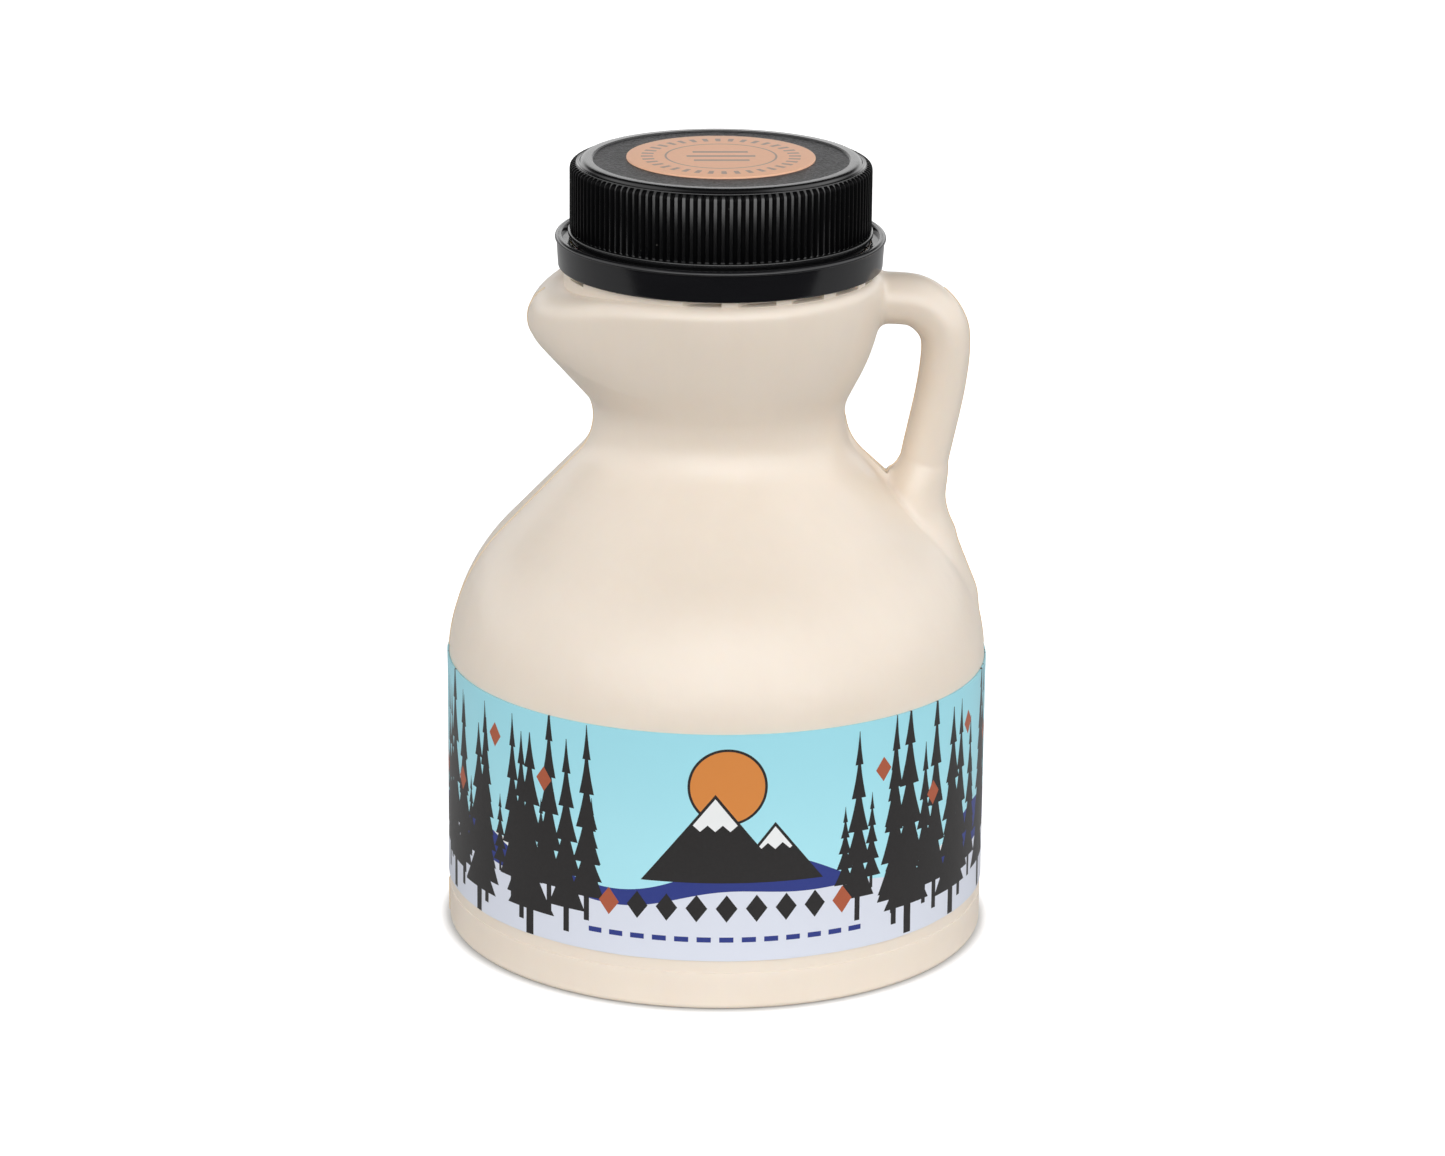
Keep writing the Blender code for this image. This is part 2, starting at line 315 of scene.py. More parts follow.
def seam_plastic():
    """The thin flash along the mould seam, warmer where light comes through it."""
    paint = Paint("seam_plastic", Specular_IOR_Level=0.4)
    cloud = paint.noise(paint.place(), 120.0, 2.0)
    colour = paint.ramp(cloud, [(0.3, (0.76, 0.59, 0.40)), (0.7, (0.79, 0.63, 0.45))])
    return paint.finish(Base_Color=colour, Roughness=0.3 + cloud * 0.1)


def cap_plastic():
    """Black polypropylene of the cap: smooth rim and wall, sandy disc inside the rim."""
    paint = Paint("cap_plastic", Specular_IOR_Level=0.85)
    place = paint.place()
    x, y, z = paint.parts(place)
    out = paint.math("SQRT", x * x + y * y)
    disc = (out < (RIM_INNER_R - 0.1) * MM) * (z > (DISC_Z - 1.0) * MM)
    sand = paint.between(paint.noise(place, 2600.0, 2.0, 0.6), 0.36, 0.64)
    cloud = paint.noise(place, 150.0, 2.0)
    colour = paint.mixed(disc * sand, (0.006, 0.006, 0.0065), (0.07, 0.07, 0.073))
    relief = paint.bump(sand * disc, 0.12, paint.bump(cloud, 0.02))
    return paint.finish(Base_Color=colour, Roughness=0.14 + disc * 0.3 + cloud * 0.06, Normal=relief)


def rib_plastic():
    """The cap's black on the grip ribs, painted darker as shade: satin, with a few pale painted glints."""
    paint = Paint("rib_plastic", Specular_IOR_Level=0.045)
    place = paint.place()
    dots = paint.node("ShaderNodeTexVoronoi", {}, {"Vector": place, "Scale": 900.0})
    rare = paint.noise(place, 160.0, 1.0)
    cloud = paint.noise(place, 300.0, 3.0)
    # Pale specks scattered over the ribs: painted glints, not marks in the plastic.
    painted_glints = (dots < 0.1) * (rare > 0.63)
    # Base black painted darker than the cap's black, as painted shade, with the painted glints mixed in.
    colour = paint.mixed(painted_glints * 0.2, (0.002, 0.002, 0.0023), (0.35, 0.33, 0.30))
    return paint.finish(Base_Color=colour, Roughness=0.28 + cloud * 0.14, Normal=paint.bump(cloud, 0.01))


def band_plastic():
    """Glossy black ring with a few rubs along it."""
    paint = Paint("band_plastic", Specular_IOR_Level=0.55)
    place = paint.place()
    rubs = paint.noise(paint.stretched(place, (60.0, 60.0, 900.0)), 1.0, 3.0, 0.6)
    cloud = paint.noise(place, 120.0, 2.0)
    colour = paint.mixed(cloud, (0.006, 0.006, 0.007), (0.01, 0.01, 0.0115))
    skin = paint.bump(cloud, 0.05)
    return paint.finish(Base_Color=colour, Roughness=0.1 + rubs * 0.1, Normal=skin)


SKY = (0.37, 0.76, 0.86)
SKY_LOW = (0.42, 0.80, 0.89)
HILL_BLUE = (0.026, 0.042, 0.23)
SNOW = (0.71, 0.74, 0.83)
INK = (0.019, 0.017, 0.017)
RUST = (0.42, 0.10, 0.045)
ORANGE = (0.70, 0.25, 0.055)
WHITE = (0.86, 0.87, 0.87)

FIR_TIERS = 5
# Each row of firs: its pitch, shift, foot, tallest top, width and how far it keeps from the front
FIR_ROWS = (
    (3.9, 0.31, 8.6, 12.5, 3.0, 15.0),
    (6.3, 0.62, 6.2, 25.5, 5.0, 17.0),
    (7.7, 0.35, 4.8, 29.0, 5.6, 19.0),
    (10.9, 0.06, 3.2, 31.0, 8.2, 18.0),
)
# Each peak: its middle, top, slope and the height where its snow starts
PEAKS = (
    (6.4, 19.4, 0.8, 15.6),
    (-1.6, 23.4, 0.8, 18.2),
)
SUN_R = 5.3
SUN_OUTLINE = 0.35
SUN_UP = 24.4
BEAD_PITCH = 4.0
BEAD_SIZE = 1.45
BEAD_UP = 7.4
DASH_PITCH = 3.0
DASH_UP = 3.0


def label_paper():
    """Printed film: sky, blue hills and snow with plain firs, a peak, a sun and beads."""
    paint = Paint("label_paper", Specular_IOR_Level=0.3)
    along = paint.node("ShaderNodeAttribute", {"attribute_name": "along"}, output="Fac")
    z = paint.parts(paint.place())[2] / MM
    up = z - label_low.z

    def wave(length, shift, height):
        return paint.math("SINE", along * (2 * pi / length) + shift) * height

    def layer(under, mask, colour):
        return paint.mixed(mask, under, colour)

    def within(low, value, high):
        return (value > low) * (value < high)

    def absolute(value):
        return paint.math("ABSOLUTE", value)

    snow_line = 8.6 + wave(58.0, 0.6, 1.3) + wave(23.3, 2.0, 0.5)
    hill_line = 11.6 + wave(46.6, 1.1, 2.3) + wave(33.3, 0.2, 1.0)
    colour = paint.mixed(paint.between(up, 10.0, 32.0), SKY_LOW, SKY)
    colour = layer(colour, up < hill_line, HILL_BLUE)
    crest = wave(31.0, 1.4, 1.9) - 0.6
    colour = layer(colour, (up < hill_line) * (up > hill_line - crest), WHITE)
    colour = layer(colour, up < snow_line, SNOW)

    def cells(pitch, shift):
        """Splits the wrap into even cells: each one's middle and a chance of its own."""
        number = paint.math("FLOOR", along / pitch + shift)
        chance = paint.node("ShaderNodeTexWhiteNoise", {"noise_dimensions": "1D"}, {"W": number + pitch})
        return (number + (0.5 - shift)) * pitch, chance

    def firs(colour, pitch, shift, foot, top, width, bare):
        """A row of stacked triangles, each as tall as chance says."""
        middle, chance = cells(pitch, shift)
        tall = top * (0.76 + chance * 0.24)
        share = (up - foot - chance * 1.6) / tall
        side = absolute(along - middle - (chance - 0.5) * (pitch - width))
        tier = share * FIR_TIERS
        step = tier - paint.math("FLOOR", tier)
        reach = 0.4 + (1.0 - step) * 0.6
        crown = (side < reach * (width * 0.5) * (1.05 - share)) * within(0.0, share, 1.0)
        trunk = (side < width * 0.08) * within(-0.14, share, 0.1)
        clear = absolute(middle) > bare
        return layer(colour, paint.math("MAXIMUM", crown, trunk) * clear, INK)

    for row in FIR_ROWS:
        colour = firs(colour, *row)

    def diamonds(colour, pitch, shift, size, bare):
        """Small rust lozenges, one in each cell, at different heights."""
        middle, chance = cells(pitch, shift)
        across = absolute(along - middle)
        upward = absolute(up - (14.0 + chance * 13.0)) * 0.75
        clear = absolute(middle) > bare
        return layer(colour, ((across + upward) < size) * clear, RUST)

    colour = diamonds(colour, 9.7, 0.2, 1.3, 17.0)

    sun = paint.math("SQRT", along * along + (up - SUN_UP) * (up - SUN_UP))
    colour = layer(colour, sun < SUN_R, INK)
    colour = layer(colour, sun < SUN_R - SUN_OUTLINE, ORANGE)

    def peak(colour, middle, top, slope, snow):
        """A dark mountain with a jagged white cap."""
        side = absolute(along - middle)
        half = (top - up) * slope
        jag = paint.math("PINGPONG", along - middle + 12.0, 1.0) * 0.9
        colour = layer(colour, (side < half) * (up > 11.0), INK)
        return layer(colour, (side < half - 0.5) * (up > snow + jag), WHITE)

    for row in PEAKS:
        colour = peak(colour, *row)

    def repeated(pitch):
        """How far a point is from the nearest of evenly spaced places."""
        return absolute(along - paint.math("FLOOR", along / pitch + 0.5) * pitch)

    ends = absolute(along)
    bead = repeated(BEAD_PITCH) + absolute(up - BEAD_UP) * 0.75
    colour = layer(colour, (bead < BEAD_SIZE) * (ends < 14.0), INK)
    colour = layer(colour, (bead < BEAD_SIZE) * within(14.0, ends, 18.0), RUST)
    dash = (repeated(DASH_PITCH) < 0.95) * (absolute(up - DASH_UP) < 0.36)
    colour = layer(colour, dash * (ends < 19.5), HILL_BLUE)

    screen = paint.noise(paint.place(), 2600.0, 1.0)
    cloud = paint.noise(paint.place(), 45.0, 2.0)
    colour = paint.mixed(0.012 * screen + 0.01 * cloud, colour, (0.5, 0.5, 0.5))
    wrinkle = paint.bump(cloud, 0.25)
    skin = paint.bump(screen, 0.006, wrinkle)
    return paint.finish(Base_Color=colour, Roughness=0.3 + cloud * 0.12, Normal=skin)


def sticker_paper():
    """Salmon paper with thin grey rings and ticks."""
    paint = Paint("sticker_paper", Specular_IOR_Level=0.4)
    place = paint.place()
    x, y, z = paint.parts(place)
    y = y - STICKER_BACK * MM
    out = paint.math("SQRT", x * x + y * y) / MM
    turn = paint.math("ARCTAN2", y, x) * (36 / (2 * pi))
    tick = paint.math("ABSOLUTE", turn - paint.math("FLOOR", turn + 0.5))
    rings = paint.math("ABSOLUTE", out - 7.4) < 0.14
    ticks = (paint.math("ABSOLUTE", out - 9.9) < 0.8) * (tick < 0.2)
    line = y / MM / 2.5
    number = paint.math("FLOOR", line + 0.5)
    bars = (paint.math("ABSOLUTE", line - number) < 0.18) * (paint.math("ABSOLUTE", number) < 1.5)
    bars = bars * (paint.math("ABSOLUTE", x) < (4.6 - paint.math("ABSOLUTE", number) * 0.9) * MM)
    mark = paint.math("MAXIMUM", rings, paint.math("MAXIMUM", ticks, bars))
    fibre = paint.noise(place, 1500.0, 3.0)
    base = paint.ramp(fibre, [(0.3, (0.90, 0.52, 0.34)), (0.7, (0.95, 0.56, 0.37))])
    colour = paint.mixed(mark * 0.75, base, (0.30, 0.27, 0.27))
    return paint.finish(Base_Color=colour, Roughness=0.42 + fibre * 0.1, Normal=paint.bump(fibre, 0.01))


def place_piece(name, mesh, finish, node, sharp=35.0):
    """A finished piece: smooth where it is round, on its body, standing for its node."""
    mesh.shade_smooth()
    mesh.set_sharp_from_angle(angle=radians(sharp))
    mesh.materials.clear()
    mesh.materials.append(finish)
    piece = bpy.data.objects.new(name, mesh)
    bpy.context.scene.collection.objects.link(piece)
    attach(piece, "root")
    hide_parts(node)
    return piece


def to_mesh(name, bm):
    """A bmesh in millimetres as a mesh in metres."""
    bmesh.ops.recalc_face_normals(bm, faces=bm.faces)
    bmesh.ops.scale(bm, vec=(MM, MM, MM), verts=bm.verts)
    mesh = bpy.data.meshes.new(name)
    bm.to_mesh(mesh)
    bm.free()
    return mesh


def evaluated(thing):
    """The object's mesh as its modifiers leave it; the object is removed."""
    bpy.context.view_layer.update()
    graph = bpy.context.evaluated_depsgraph_get()
    mesh = bpy.data.meshes.new_from_object(thing.evaluated_get(graph))
    bpy.data.objects.remove(thing)
    return mesh


def helper(name, mesh):
    """An object that only carries a mesh through a modifier."""
    made = bpy.data.objects.new(name, mesh)
    bpy.context.scene.collection.objects.link(made)
    return made


def arc(centre, radius, start, end, steps):
    """Points on a circle in the (radius, height) plane, from one angle to another."""
    turn = np.linspace(start, end, steps + 1)
    return np.column_stack((centre[0] + radius * np.cos(turn), centre[1] + radius * np.sin(turn)))


def ring(bm, sides, place):
    """One row of vertices; place gives (radius, height) for an angle."""
    row = []
    for i in range(sides):
        angle = 2 * pi * i / sides
        r, z = place(angle)
        row.append(bm.verts.new((r * cos(angle), r * sin(angle), z)))
    return row


def bridge(bm, lower, upper):
    """Quads between two rows of the same length."""
    for i in range(len(lower)):
        j = (i + 1) % len(lower)
        bm.faces.new((lower[i], lower[j], upper[j], upper[i]))


def fan(bm, row, height):
    """Closes a row with a point on the axis."""
    centre = bm.verts.new((0.0, 0.0, height))
    for i in range(len(row)):
        bm.faces.new((row[i], centre, row[(i + 1) % len(row)]))


def turned(outline, sides, closed=False):
    """A solid of revolution from its outline; closed joins its last row to its first."""
    bm = bmesh.new()
    rows = [ring(bm, sides, lambda angle, p=p: p) for p in outline]
    for lower, upper in zip(rows, rows[1:]):
        bridge(bm, lower, upper)
    if closed:
        bridge(bm, rows[-1], rows[0])
    else:
        fan(bm, rows[0], outline[0][1])
        fan(bm, rows[-1], outline[-1][1])
    return bm


def skin_outline(lip):
    """Upper body, waist, head and shoulder, away from the lip or through its middle."""
    low_z = SKIN_JOIN_Z - 3.0
    start = [(0.0, low_z), (BODY_R, low_z)]
    dome = arc((BODY_R - DOME_ARC_R, DOME_START_Z), DOME_ARC_R, 0.0, DOME_ANGLE, 60)
    waist = arc((WAIST_R + WAIST_ARC_R, WAIST_Z), WAIST_ARC_R, pi + DOME_ANGLE, pi, 34)
    if lip:
        throat = arc((WAIST_R + LIP_WAIST_ARC_R, WAIST_Z), LIP_WAIST_ARC_R, pi, pi - LIP_ANGLE, 22)
        flare = arc((LIP_R - LIP_UNDER_ARC_R, LIP_Z), LIP_UNDER_ARC_R, -LIP_ANGLE, 0.0, 40)
        top = arc((LIP_R - LIP_TOP_ARC_R, LIP_Z), LIP_TOP_ARC_R, 0.0, pi / 2, 24)
    else:
        throat = arc((WAIST_R + WAIST_ARC_R, WAIST_Z), WAIST_ARC_R, pi, pi - HEAD_ANGLE, 22)
        cone_r = throat[-1][0] + (HEAD_CONE_TOP_Z - throat[-1][1]) * tan(HEAD_ANGLE)
        flare_r = (HEAD_ARC_TOP_Z - HEAD_CONE_TOP_Z) / sin(HEAD_ANGLE)
        centre = (cone_r - flare_r * cos(HEAD_ANGLE), HEAD_ARC_TOP_Z)
        flare = arc(centre, flare_r, -HEAD_ANGLE, 0.0, 40)
        top = arc((flare[-1][0] - SHOULDER_ARC_R, HEAD_ARC_TOP_Z), SHOULDER_ARC_R, 0.0, pi / 2, 24)
    end = [(0.0, top[-1][1])]
    return np.vstack((start, dome, waist, throat[1:], flare, top[1:], end))


HEAD_OUTLINE = skin_outline(lip=False)
LIP_OUTLINE = skin_outline(lip=True)


def smooth_path(points, steps):
    """Points read evenly from a smooth curve through the given ones."""
    ends = np.array([points[0], *points, points[-1]])
    at = np.linspace(0.0, len(points) - 1, steps + 1)
    k = np.minimum(at.astype(int), len(points) - 2)
    t = (at - k)[:, None]
    a, b, c, d = (ends[k + i] for i in range(4))
    return 0.5 * (2 * b + (c - a) * t + (2 * a - 5 * b + 4 * c - d) * t ** 2
                  + (3 * b - a - 3 * c + d) * t ** 3)


def handle_path(steps):
    """The handle's centre line with its half depth and half width at each point."""
    side, top = HANDLE_BEND_SIDE, HANDLE_BEND_TOP
    bend = [(side[0] - (side[0] - top[0]) * (1 - sin(a)), side[1] + (top[1] - side[1]) * cos(a))
            for a in (0.0, pi / 6, pi / 3, pi / 2)]
    path = smooth_path([HANDLE_ROOT, *bend, HANDLE_GRIP, HANDLE_LOW, HANDLE_FLARE, HANDLE_FOOT], steps)
    low = np.clip((HANDLE_LOW[1] - path[:, 1]) / (HANDLE_LOW[1] - HANDLE_FOOT[1]), 0.0, None)
    growth = HANDLE_FOOT_GROWTH * low ** HANDLE_FOOT_POWER
    top_growth = np.interp(path[:, 1], (side[1], top[1]), (0.0, HANDLE_TOP_GROWTH))
    return path, HANDLE_DEPTH_R + growth + top_growth, HANDLE_WIDTH_R + growth


def nearest(points, starts, steps):
    """For each flat point, the nearest of its line pieces: the offset from it and where."""
    offset = points[:, None, :] - starts
    share = np.clip((offset * steps).sum(-1) / np.maximum((steps * steps).sum(-1), 1e-12), 0.0, 1.0)
    offset = offset - steps * share[..., None]
    best = (offset ** 2).sum(-1).argmin(1)
    pick = np.arange(len(points))
    return offset[pick, best], best, share[pick, best]


def body_distance(points):
    """How far points lie outside the turned body, and the way out."""
    out = np.hypot(points[:, 0], points[:, 1])
    lip = np.clip(-points[:, 0] / out, 0.0, None) ** LIP_WIDTH_POWER
    outline = HEAD_OUTLINE + (LIP_OUTLINE - HEAD_OUTLINE) * lip[:, None, None]
    steps = outline[:, 1:] - outline[:, :-1]
    flat = np.column_stack((out, points[:, 2]))
    offset, best, share = nearest(flat, outline[:, :-1], steps)
    step = steps[np.arange(len(points)), best]
    normal = np.column_stack((step[:, 1], -step[:, 0]))
    normal /= np.linalg.norm(normal, axis=1)[:, None]
    length = np.linalg.norm(offset, axis=1)
    side = np.where((offset * normal).sum(1) < 0.0, -1.0, 1.0)
    way = np.where(length[:, None] > 1e-4, offset * (side / np.maximum(length, 1e-9))[:, None], normal)
    across = way[:, :1] * points[:, :2] / out[:, None]
    return length * side, np.column_stack((across, way[:, 1]))


def handle_distance(points):
    """The same for the handle, an oval tube along its centre line."""
    path, depth, width = handle_path(220)
    flat = points[:, [0, 2]]
    offset, best, share = nearest(flat, path[None, :-1], np.diff(path, axis=0)[None])
    depth = depth[best] + (depth[best + 1] - depth[best]) * share
    width = width[best] + (width[best + 1] - width[best]) * share
    oval = np.column_stack((offset[:, 0] / depth, points[:, 1] / width, offset[:, 1] / depth))
    slope = np.column_stack((offset[:, 0] / depth ** 2, points[:, 1] / width ** 2, offset[:, 1] / depth ** 2))
    size = np.linalg.norm(oval, axis=1)
    steep = np.maximum(np.linalg.norm(slope, axis=1), 1e-9)
    return size * (size - 1.0) / steep, slope / steep[:, None]


WEB_LINE = HEAD_OUTLINE[(HEAD_OUTLINE[:, 1] > WEB_SPAN[0]) & (HEAD_OUTLINE[:, 1] < WEB_SPAN[1])]


def web_distance(points):
    """The same for the low web that runs down the body inside the handle."""
    flat = points[:, [0, 2]]
    offset, best, share = nearest(flat, WEB_LINE[None, :-1], np.diff(WEB_LINE, axis=0)[None])
    way = np.column_stack((offset[:, 0], points[:, 1], offset[:, 1]))
    length = np.maximum(np.linalg.norm(way, axis=1), 1e-9)
    height = WEB_LINE[best, 1] + (WEB_LINE[best + 1, 1] - WEB_LINE[best, 1]) * share
    return length - np.interp(height, WEB_HEIGHTS, WEB_RADII), way / length[:, None]


def blended(first, first_way, second, second_way, reach):
    """Two distances with a soft fillet between their surfaces."""
    share = np.clip(0.5 + 0.5 * (first - second) / reach, 0.0, 1.0)
    distance = first * (1 - share) + second * share - reach * share * (1 - share)
    return distance, first_way * (1 - share)[:, None] + second_way * share[:, None]


def skin_distance(points):
    """Body, handle and web with soft fillets between them."""
    body, body_way = body_distance(points)
    distance, way = body, body_way
    near = np.flatnonzero((points[:, 0] > 6.0) & (abs(points[:, 1]) < 16.0) & (points[:, 2] > 36.0))
    reach = np.interp(points[near, 2], FILLET_HEIGHTS, FILLET_REACHES)
    web = blended(*web_distance(points[near]), body[near], body_way[near], WEB_FILLET)
    distance[near], way[near] = blended(*handle_distance(points[near]), *web, reach)
    return distance, way


BATCH = 12000


def batches(rows):
    """The rows in lots that are small enough to work on at once."""
    return np.array_split(rows, max(1, len(rows) // BATCH))


def settle(points, rounds):
    """Moves points straight onto the skin."""
    for _ in range(rounds):
        for part in batches(np.arange(len(points))):
            distance, way = skin_distance(points[part])
            points[part] -= way * (distance / (way * way).sum(1))[:, None]
    return points


def even_out(points, edges, rounds):
    """Slides points along the skin towards the middle of their neighbours."""
    first, second = edges.T
    count = np.bincount(first, minlength=len(points)) + np.bincount(second, minlength=len(points))
    for _ in range(rounds):
        middle = np.column_stack([
            np.bincount(first, points[second, k], len(points))
            + np.bincount(second, points[first, k], len(points)) for k in range(3)])
        shift = middle / count[:, None] - points
        way = np.vstack([skin_distance(part)[1] for part in batches(points)])
        way /= np.linalg.norm(way, axis=1)[:, None]
        points += 0.6 * (shift - way * (shift * way).sum(1)[:, None])
    return points


TUBE_SIDES = 24
ROUGH_SIDES = 128


def rough_skin():
    """Closed rough shells of the body and the handle, for the even mesh to start from."""
    bm = bmesh.new()

    def row_place(i):
        def place(angle):
            lip = max(0.0, -cos(angle)) ** LIP_WIDTH_POWER
            return HEAD_OUTLINE[i] + (LIP_OUTLINE[i] - HEAD_OUTLINE[i]) * lip
        return place

    picks = [1, *range(2, len(HEAD_OUTLINE) - 1, 3), len(HEAD_OUTLINE) - 2]
    rows = [ring(bm, ROUGH_SIDES, row_place(i)) for i in picks]
    for lower, upper in zip(rows, rows[1:]):
        bridge(bm, lower, upper)
    fan(bm, rows[0], HEAD_OUTLINE[0][1])
    fan(bm, rows[-1], HEAD_OUTLINE[-1][1])

    path, depth, width = handle_path(90)
    ahead = np.gradient(path, axis=0)
    ahead /= np.linalg.norm(ahead, axis=1)[:, None]
    tube = []
    for (x, z), (dx, dz), half_depth, half_width in zip(path, ahead, depth, width):
        row = []
        for j in range(TUBE_SIDES):
            a = 2 * pi * j / TUBE_SIDES
            place = (x + dz * half_depth * cos(a), half_width * sin(a), z - dx * half_depth * cos(a))
            row.append(bm.verts.new(place))
        tube.append(row)
    for lower, upper in zip(tube, tube[1:]):
        bridge(bm, lower, upper)
    bm.faces.new(tube[0])
    bm.faces.new(tube[-1])
    bmesh.ops.recalc_face_normals(bm, faces=bm.faces)
    mesh = bpy.data.meshes.new("rough_skin")
    bm.to_mesh(mesh)
    bm.free()
    return mesh


def foot_outline():
    """Foot of the jug from the hidden join down to the push-up, outside first."""
    heel = BODY_R + PANEL_STEP - CONTACT_R
    step = PANEL_STEP
    return np.vstack((
        [(BODY_R, z) for z in (SKIN_JOIN_Z - 1.0, 14.0, 9.0, 6.6, PANEL_LINE_Z + 2 * step)],
        arc((BODY_R + step, PANEL_LINE_Z + step), step, pi, 1.5 * pi, 3),
        arc((BODY_R, PANEL_LINE_Z - step), step, pi / 2, 0.0, 3),
        [(BODY_R + step, z) for z in (4.0, 2.4, heel + 0.3)],
        arc((CONTACT_R, heel), heel, 0.0, -pi / 2, 8),
        [(34.0, 0.0), (31.0, 0.0)],
        arc((CONTACT_INNER_R + 1.2, 2.0), 2.0, -pi / 2, -pi / 2 - 0.6, 4),
        [(24.0, 0.9), (18.0, 1.3), (10.0, PUSH_UP)]))


def jug_skin():
    """The jug's skin: an even mesh settled on the true form, closed by a turned foot."""
    start = helper("rough_skin", rough_skin())
    remesh = start.modifiers.new("even", "REMESH")
    remesh.mode = "VOXEL"
    remesh.voxel_size = SKIN_CELL
    mesh = evaluated(start)
    count = len(mesh.vertices)
    points = np.zeros(count * 3, np.float32)
    mesh.vertices.foreach_get("co", points)
    points = points.reshape(-1, 3).astype(float)
    edges = np.zeros(len(mesh.edges) * 2, np.int32)
    mesh.edges.foreach_get("vertices", edges)
    edges = edges.reshape(-1, 2)
    live = points[:, 2] > SKIN_JOIN_Z - 2.0
    live &= np.hypot(points[:, 0], points[:, 1]) > 12.0
    held = points[~live].copy()
    points = settle(points, 3)
    points = even_out(points, edges, 3)
    points = settle(points, 2)
    points[~live] = held
    mesh.vertices.foreach_set("co", points.astype(np.float32).ravel())

    bm = bmesh.new()
    bm.from_mesh(mesh)
    bmesh.ops.bisect_plane(bm, geom=bm.verts[:] + bm.edges[:] + bm.faces[:], dist=1e-5,
                           plane_co=(0, 0, SKIN_JOIN_Z), plane_no=(0, 0, 1), clear_inner=True)
    rim = [edge for edge in bm.edges if edge.is_boundary]
    outline = foot_outline()
    rows = [ring(bm, FOOT_SIDES, lambda angle, p=p: p) for p in outline]
    for upper, lower in zip(rows, rows[1:]):
        bridge(bm, upper, lower)
    fan(bm, rows[-1], outline[-1][1])
    top = [edge for edge in bm.edges if edge.is_boundary and edge not in set(rim)]
    bmesh.ops.bridge_loops(bm, edges=rim + top)
    return to_mesh("jug_skin", bm)


def notch_depth(angle):
    """How deep the ratchet is cut at an angle: a ramp that ends at a steep face."""
    for start in TOOTH_ARC_STARTS:
        for k in range(TEETH_PER_ARC):
            back = (start + k * TOOTH_PITCH - angle) % (2 * pi)
            if back < TOOTH_RAMP:
                return TOOTH_DEPTH * (1 - (back / TOOTH_RAMP) ** 4)
    return 0.0


def neck_ring():
    """Ratchet ring and plain neck, sunk a little into the shoulder."""
    turns = [radians(1.0) * i for i in range(360)]
    edge = radians(0.12)
    for start in TOOTH_ARC_STARTS:
        for k in range(TEETH_PER_ARC):
            steep = (start + k * TOOTH_PITCH) % (2 * pi)
            turns = [t for t in turns if abs(t - steep) > radians(0.4)] + [steep, steep + edge]
    turns.sort()
    depths = [notch_depth(t) for t in turns]
    bm = bmesh.new()

    def row(radius, height, cut=False):
        return [bm.verts.new(((radius - cut * d) * cos(t), (radius - cut * d) * sin(t), height))
                for t, d in zip(turns, depths)]

    rows = [row(RATCHET_R, RATCHET_FOOT_Z), row(RATCHET_R, NOTCH_LOW_Z), row(RATCHET_R, NOTCH_LOW_Z, True),
            row(RATCHET_R, RATCHET_TOP_Z, True), row(NECK_R, RATCHET_TOP_Z), row(NECK_R, NECK_TOP_Z)]
    for lower, upper in zip(rows, rows[1:]):
        bridge(bm, lower, upper)
    fan(bm, rows[0], RATCHET_FOOT_Z)
    fan(bm, rows[-1], NECK_TOP_Z)
    bmesh.ops.remove_doubles(bm, verts=bm.verts, dist=1e-4)
    return to_mesh("neck_ring", bm)


def jug(finish):
    """Skin and neck ring joined into one moulding, with the flash along its seam."""
    skin_mesh = jug_skin()
    mould_seam(skin_mesh, seam_plastic())
    skin = helper("skin", skin_mesh)
    neck = helper("neck", neck_ring())
    join = skin.modifiers.new("neck", "BOOLEAN")
    join.operation = "UNION"
    join.solver = "EXACT"
    join.object = neck
    mesh = evaluated(skin)
    bpy.data.objects.remove(neck)
    return place_piece("jug_moulding", mesh, finish, "jug", sharp=40.0)


SEAM_R = 0.14
SEAM_SPANS = ((0.4, 6.4), (39.2, 89.6))


def seam_tree():
    """Geometry nodes that turn a row of edges into a thin round bead."""
    tree = bpy.data.node_groups.new("thin_bead", "GeometryNodeTree")
    face = tree.interface
    face.new_socket("Geometry", in_out="INPUT", socket_type="NodeSocketGeometry")
    radius = face.new_socket("Radius", in_out="INPUT", socket_type="NodeSocketFloat")
    finish = face.new_socket("Finish", in_out="INPUT", socket_type="NodeSocketMaterial")
    face.new_socket("Geometry", in_out="OUTPUT", socket_type="NodeSocketGeometry")
    nodes, links = tree.nodes, tree.links
    given = nodes.new("NodeGroupInput")
    result = nodes.new("NodeGroupOutput")
    curve = nodes.new("GeometryNodeMeshToCurve")
    circle = nodes.new("GeometryNodeCurvePrimitiveCircle")
    circle.inputs["Resolution"].default_value = 8
    tube = nodes.new("GeometryNodeCurveToMesh")
    tube.inputs["Fill Caps"].default_value = True
    real = nodes.new("GeometryNodeRealizeInstances")
    coat = nodes.new("GeometryNodeSetMaterial")
    links.new(given.outputs["Geometry"], curve.inputs[0])
    links.new(given.outputs["Radius"], circle.inputs["Radius"])
    links.new(curve.outputs[0], tube.inputs["Curve"])
    links.new(circle.outputs[0], tube.inputs["Profile Curve"])
    links.new(tube.outputs[0], real.inputs[0])
    links.new(real.outputs[0], coat.inputs["Geometry"])
    links.new(given.outputs["Finish"], coat.inputs["Material"])
    links.new(coat.outputs[0], result.inputs[0])
    return tree, {"radius": radius.identifier, "finish": finish.identifier}


